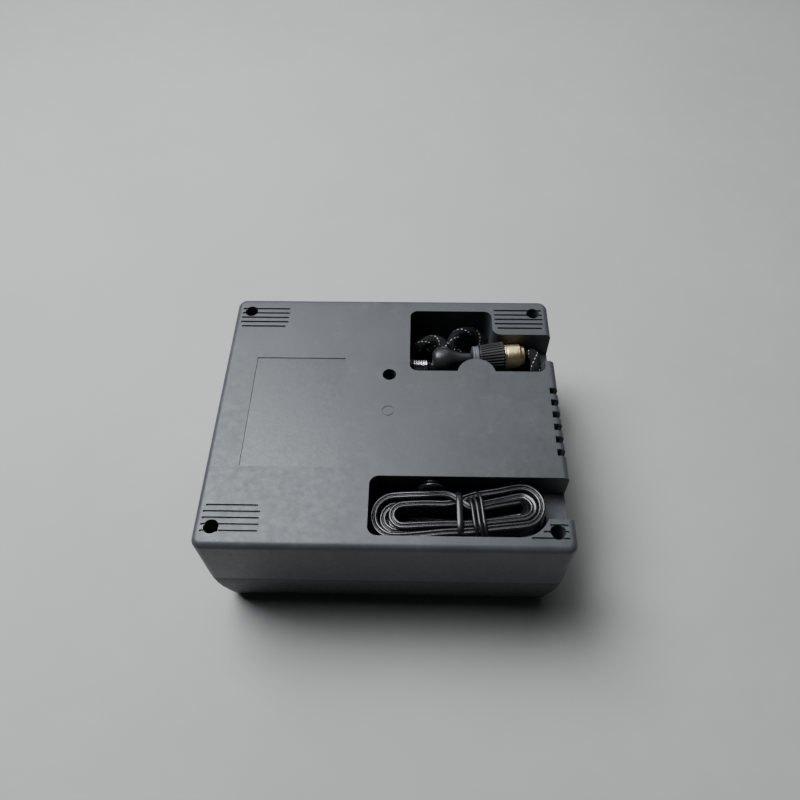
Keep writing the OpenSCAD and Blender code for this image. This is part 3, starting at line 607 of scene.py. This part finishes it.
def hank_loop(inset, left_shift, shrink, next_inset, jitter):
    """One turn of the folded lead, seen from above, starting at the far side of the left-hand fold."""
    left = LEFT_LOBE + Vector((left_shift, 0.5 * shrink))
    left_r = LEFT_R - inset - shrink
    right_r = RIGHT_R - inset
    waist = WAIST_R - inset - 0.4 * shrink
    pts = arc(left, left_r, (90, 120, 150, 180, 210, 240, 270))
    near_l, near_r = left.y - left_r, RIGHT_LOBE.y - right_r
    far_r = RIGHT_LOBE.y + right_r
    pts += [Vector((x, near_l + (WAIST.y - waist - near_l) * t)) for x, t in ((19, 0.35), (31, 0.9))]
    pts += [Vector((x, WAIST.y - waist + (near_r - WAIST.y + waist) * t)) for x, t in ((44, 0.06), (58, 0.6))]
    pts += arc(RIGHT_LOBE, right_r, (-90, -60, -30, 0, 30, 60, 90))
    pts += [Vector((x, far_r + (WAIST.y + waist - far_r) * t)) for x, t in ((59, 0.5), (46, 0.97))]
    # the step over to the next turn lies under the ties
    next_waist, next_far = WAIST_R - next_inset, LEFT_LOBE.y + LEFT_R - next_inset
    rise = next_far - WAIST.y - next_waist
    pts += [Vector((x, WAIST.y + next_waist + rise * t)) for x, t in ((34, 0.0), (21, 0.6))]
    return [p + Vector((jitter.uniform(-0.13, 0.13), jitter.uniform(-0.16, 0.16))) for p in pts]


def make_lead():
    """The whole lead: out of the bush, fourteen turns of the hank, and down into the plug."""
    rng = random.Random(11)
    # each turn: inset, height, shift of its left-hand fold, and how much tighter that fold is
    turns = [(OUTER, 68.6 - 2.28 * k, rng.uniform(-0.1, 0.5), 0.0) for k in range(6)]
    turns.append((HOLE, 62.0, 4.0, 0.0))
    turns.append((OUTER, 70.9, 0.0, 0.0))
    turns += [(INNER, 69.7 - 2.08 * k, *fold) for k, fold in enumerate(
        ((3.6, 1.5), (0.2, 0.0), (2.2, 0.8), (0.6, 0.2), (1.8, 0.7), (0.4, 0.0)))]
    entry = [Vector(p) for p in (ENTRY, (23.9, -47.3, 71.4), (22.0, -48.3, 71.0), (15.0, -48.5, 70.3))]
    pts = []
    for k, (inset, z, shift, shrink) in enumerate(turns):
        next_inset = turns[k + 1][0] if k + 1 < len(turns) else inset
        loop = hank_loop(inset, shift, shrink, next_inset, rng)
        if k == len(turns) - 1:
            loop = loop[:13]
        start, after = z, turns[k + 1][1] if k + 1 < len(turns) else z
        if inset == HOLE:
            start, after = 57.4, 72.0
        for i, p in enumerate(loop):
            t = i / len(loop)
            ease = t if inset == HOLE else max(0.0, (t - 0.55) / 0.45)
            ease = ease * ease * (3 - 2 * ease)
            height = start + (min(after, 72.0) - start) * ease if k + 1 < len(turns) else start
            if k + 1 < len(turns) and turns[k + 1][0] == HOLE:
                height = start
            pts.append(tilted(Vector((p.x, p.y, height + rng.uniform(-0.07, 0.07)))))
    pts = entry + pts + [Vector((77.6, -57.0, 60.9))] + [Vector(p) for p in TAIL_ROUTE]
    route = catmull([p * MM for p in pts], 6)
    path = resample(route, 0.0016)
    rolls = [rng.uniform(-1, 1) for _ in range(400)]
    span = 0.03

    def twin(i, s):
        k, f = divmod(s / span, 1.0)
        k = int(k)
        f = f * f * (3 - 2 * f)
        roll = math.radians(14) * (rolls[k % 400] * (1 - f) + rolls[(k + 1) % 400] * f)
        c, d = math.cos(roll), math.sin(roll)
        ring, r = [], CORE_D / 2
        for sign, first in ((1, -152), (-1, 28)):
            for j in range(9):
                a = math.radians(first + 38 * j)
                x, y = sign * r * 0.98 + r * math.cos(a), r * math.sin(a)
                ring.append(((x * c - y * d) * MM, (x * d + y * c) * MM))
        return ring

    lead = new_object("twin_lead", sweep("twin_lead", path, twin, up=Vector((0, 0.001, 1)).normalized()))
    finish_piece(lead, "lead", replaces=["lead_tube", "lead_hank", "lead_tail"])
    return lead, resample(route, 0.003)


# ---------------------------------------------------------------- pieces on the cords
def tie_loop(name, x_top, x_bottom, y_mid, half_w, half_h, profile):
    """A tie wound once round the waist of the folded lead."""
    lift = (x_top - HANK_LEFT) * math.sin(HANK_TILT)
    pts = []
    for k in range(32):
        a = 2 * math.pi * k / 32
        c, s = math.cos(a), math.sin(a)
        y = y_mid + half_w * math.copysign(abs(c) ** 0.55, c)
        z = 64.3 + lift + half_h * math.copysign(abs(s) ** 0.55, s)
        pts.append(Vector((x_bottom + (x_top - x_bottom) * (0.5 + 0.5 * c), y, z)) * MM)
    return new_object(name, sweep(name, catmull(pts, 4, closed=True), profile, closed=True))


def make_ties():
    band = [(-0.5, -1.5), (-0.2, -1.7), (0.3, -1.2), (0.5, 0), (0.3, 1.2), (-0.2, 1.7), (-0.5, 1.5),
            (-0.55, 0)]
    flat = [(y * MM, x * MM) for x, y in band]
    left = tie_loop("tie_band", 37.8, 38.4, WAIST.y, 12.7, 8.9, lambda i, s: flat)
    pieces = [finish_piece(left, "tie", replaces=["tie_left"])]
    ring = circle_profile(1.05 * MM, 14)
    for k, (top, bottom, mid, half) in enumerate(((42.6, 47.0, -61.0, 10.8), (45.0, 49.6, -60.6, 11.2),
                                                  (47.4, 51.8, -59.2, 12.7))):
        strand = tie_loop(f"tie_strand_{k + 1}", top, bottom, mid, half, 9.1, ring)
        pieces.append(finish_piece(strand, "tie", replaces=["tie_right"] if k == 0 else ()))
    return pieces


def chuck_line():
    j = joints["chuck_spin"]
    return Vector(j["pos_m"]), Vector(j["axis"])


def make_chuck():
    origin, axis = chuck_line()
    # rubber boot: bulb, shoulder and neck in one moulding
    bulb = [(-4.6, 0), (-4.6, 3.2), (-4.2, 5.2), (-2.9, 6.6), (-0.8, 7.1), (2.0, 7.15), (4.2, 6.9),
            (5.8, 6.1), (7.6, 5.2), (9.6, 4.4), (11.8, 3.8), (14, 3.4), (17.6, 3.2), (19.4, 3.25),
            (19.4, 0)]
    bulb = [(a, max(r, 0.01)) for a, r in bulb]
    boot = new_object("boot_bulb", revolve("boot_bulb", bulb, origin, axis, 48))
    sub = boot.modifiers.new("round", "SUBSURF")
    sub.levels = sub.render_levels = 1
    finish_piece(boot, "boot", replaces=["chuck_boot"])
    inlet = [(0, 0.01), (0, 5.2), (2.0, 5.0), (4.5, 4.6), (7.2, 4.4), (8.2, 4.2), (8.2, 3.3), (8.0, 0.01)]
    inlet_at = mm(32, 43.5, 68)
    stub = new_object("boot_inlet", revolve("boot_inlet", rounded(inlet, 0.5), inlet_at, (0, 1, 0), 40))
    finish_piece(stub, "boot")
    collar_profile = [(19.4, 0.01), (19.4, 6.7), (19.7, 7.0), (20.7, 7.0), (20.9, 6.8), (21.2, 6.8),
                      (21.4, 7.0), (22.7, 7.0), (23.0, 6.7), (23.0, 4.0), (36.0, 4.0), (36.0, 0.01)]
    collar_profile = rounded(collar_profile, 0.25)
    collar = new_object("collar_ring", revolve("collar_ring", collar_profile, origin, axis, 64))
    finish_piece(collar, "collar", replaces=["chuck_collar"])
    # knurled grip: flutes that lean round the cone
    flutes, lean = 30, 0.10

    def knurl(along, radius, a):
        if radius < 7.0 or along < 23.6 or along > 37.4:
            return 0.0
        fade = min(1.0, (along - 23.6) / 0.6, (37.4 - along) / 0.5)
        wave = math.cos(flutes * (a + lean * (along - 23) / 14.6))
        return -0.55 * max(0.0, min(1.0, 0.5 + 1.2 * wave)) * fade

    cone = [(23.1, 4.06), (23.1, 6.9), (23.3, 7.25)]
    cone += [(23.6 + 13.8 * k / 14, 7.35 + 1.72 * (k / 14) ** 0.85) for k in range(15)]
    cone += [(37.6, 8.9), (37.7, 8.5), (37.7, 4.06)]
    grip = new_object("knurled_grip", revolve_open("knurled_grip", cone, origin, axis, 480, knurl))
    finish_piece(grip, "grip", body="chuck", replaces=["chuck_grip"])
    nut_profile = [(37.7, 3.86), (37.7, 6.6), (38.0, 6.95), (39.0, 7.0), (39.3, 6.85), (39.6, 6.85),
                   (39.9, 7.0), (46.9, 7.0), (47.6, 6.6), (48.0, 5.9), (48.2, 5.65), (49.5, 5.6),
                   (50.0, 5.2), (50.0, 4.35), (49.4, 3.95), (44, 3.86)]
    for k in range(9):
        nut_profile += [(43.6 - 0.7 * k, 3.95), (43.25 - 0.7 * k, 3.7)]
    nut = new_object("brass_nut", revolve_open("brass_nut", rounded(nut_profile, 0.2), origin, axis, 96))
    finish_piece(nut, "brass", body="chuck", replaces=["chuck_nut"], smooth=True)
    return [boot, stub, collar, grip, nut]


def revolve_open(name, profile, origin, axis, sides, ripple=None):
    """A turned ring: the profile closes on itself."""
    axis = Vector(axis).normalized()
    u = Vector((0, 0, 1)) if abs(axis.z) < 0.9 else Vector((1, 0, 0))
    u = (u - axis * u.dot(axis)).normalized()
    w = axis.cross(u)
    verts, faces, rows = [], [], len(profile)
    for along, radius in profile:
        for k in range(sides):
            a = 2 * math.pi * k / sides
            r = radius + (ripple(along, radius, a) if ripple else 0.0)
            verts.append(origin + (axis * along + (u * math.cos(a) + w * math.sin(a)) * r) * MM)
    for j in range(rows):
        n = (j + 1) % rows
        for k in range(sides):
            l = (k + 1) % sides
            faces.append((j * sides + k, j * sides + l, n * sides + l, n * sides + k))
    return mesh_from(name, verts, faces)


def make_spring():
    low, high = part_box("hose_spring")
    centre = (low + high) / 2
    radius = 4.9 * MM
    wire = 0.7 * MM
    turns, steps = 5.4, 40
    pts = []
    for k in range(int(turns * steps) + 1):
        a = 2 * math.pi * k / steps
        x = low.x + wire + (high.x - low.x - 2 * wire) * k / (turns * steps)
        pts.append(Vector((x, centre.y + radius * math.cos(a), centre.z + radius * math.sin(a))))
    coil = new_object("spring_coil", sweep("spring_coil", pts, circle_profile(wire, 12)))
    return finish_piece(coil, "chrome", replaces=["hose_spring"])


def make_grommet():
    origin = mm(24, -41.5, 71.5)
    profile = [(-3.5, 0.01), (-3.5, 4.9), (-3.1, 5.2), (-2.2, 5.1), (-2.0, 3.4), (-0.05, 3.4), (0, 5.2),
               (0.4, 5.6), (1.1, 5.6), (1.5, 5.2), (1.6, 4.2), (2.5, 4.2), (2.7, 6.5), (3.1, 7.15),
               (3.9, 7.2), (4.4, 6.6), (4.45, 3.0), (4.5, 2.6), (4.5, 0.01)]
    g = new_object("lead_bush", revolve("lead_bush", rounded(profile, 0.25), origin, (0, -1, 0), 64))
    return finish_piece(g, "rubber", replaces=["lead_grommet"])


def make_dial_marks():
    """Plain graduations and numbers, printed on the gauge dial and read from below."""
    face = DIAL_FACE
    verts, faces = [], []
    for k in range(DIAL_STEPS + 1):
        a = math.radians(DIAL_START - DIAL_SWEEP * k / DIAL_STEPS)
        long_mark = k % 5 == 0
        out = Vector((math.sin(a), math.cos(a), 0))
        side = Vector((out.y, -out.x, 0)) * (0.32 if long_mark else 0.16)
        inner = TICK_LONG_R if long_mark else TICK_SHORT_R
        base = len(verts)
        for z in (face, face - 0.05):
            for r, w in ((inner, -1), (inner, 1), (TICK_OUTER_R, 1), (TICK_OUTER_R, -1)):
                verts.append((DIAL_AT + out * r + side * w + Vector((0, 0, z))) * MM)
        faces += [tuple(base + i for i in f) for f in
                  ((0, 1, 2, 3), (7, 6, 5, 4), (0, 4, 5, 1), (1, 5, 6, 2), (2, 6, 7, 3), (3, 7, 4, 0))]
    pieces = [finish_piece(new_object("dial_ticks", mesh_from("dial_ticks", verts, faces)), "black_plastic",
                           smooth=False)]
    for k in range(0, DIAL_STEPS + 1, 10):
        a = math.radians(DIAL_START - DIAL_SWEEP * k / DIAL_STEPS)
        curve = bpy.data.curves.new(f"dial_number_{k // 5}", "FONT")
        curve.body = str(k // 5)
        curve.size = NUMBER_SIZE * MM
        curve.align_x = "CENTER"
        curve.align_y = "CENTER"
        curve.extrude = 0.03 * MM
        lettering = bpy.data.objects.new(curve.name, curve)
        mesh = bpy.data.meshes.new_from_object(lettering)
        centre = DIAL_AT + Vector((math.sin(a), math.cos(a), 0)) * NUMBER_R + Vector((0, 0, face - 0.04))
        for v in mesh.vertices:
            v.co = Vector((-v.co.x, v.co.y, -v.co.z)) + centre * MM
        pieces.append(finish_piece(new_object(curve.name, mesh), "black_plastic", smooth=False))
        bpy.data.objects.remove(lettering)
    return pieces


# ---------------------------------------------------------------- carried-over nodes
def dress_nodes():
    tree = smooth_by_angle()
    slots = {s["node"]: s["material_slot"] for s in frame["record"]["subparts"]}
    for name, obj in nodes.items():
        obj.data.materials.clear()
        obj.data.materials.append(materials[slots[name]])
        mod = obj.modifiers.new("smooth", "NODES")
        mod.node_group = tree


def make_floor():
    s = surface("floor_paint", (0.42, 0.415, 0.405), 0.75, mottle=0.03,
                mottle_scale=8.0, grain=[(60.0, 0.0002)])
    verts = [(-6, -6, 0), (6, -6, 0), (6, 6, 0), (-6, 6, 0)]
    floor = new_object("floor", mesh_from("floor", verts, [(0, 1, 2, 3)]))
    floor.data.materials.append(s.mat)


make_camera()
materials = make_materials()
hose, hose_path = make_hose()
lead, lead_path = make_lead()
chuck_pieces = make_chuck()
spring = make_spring()
ties = make_ties()
grommet = make_grommet()
make_dial_marks()
make_lights()
make_floor()
dress_nodes()
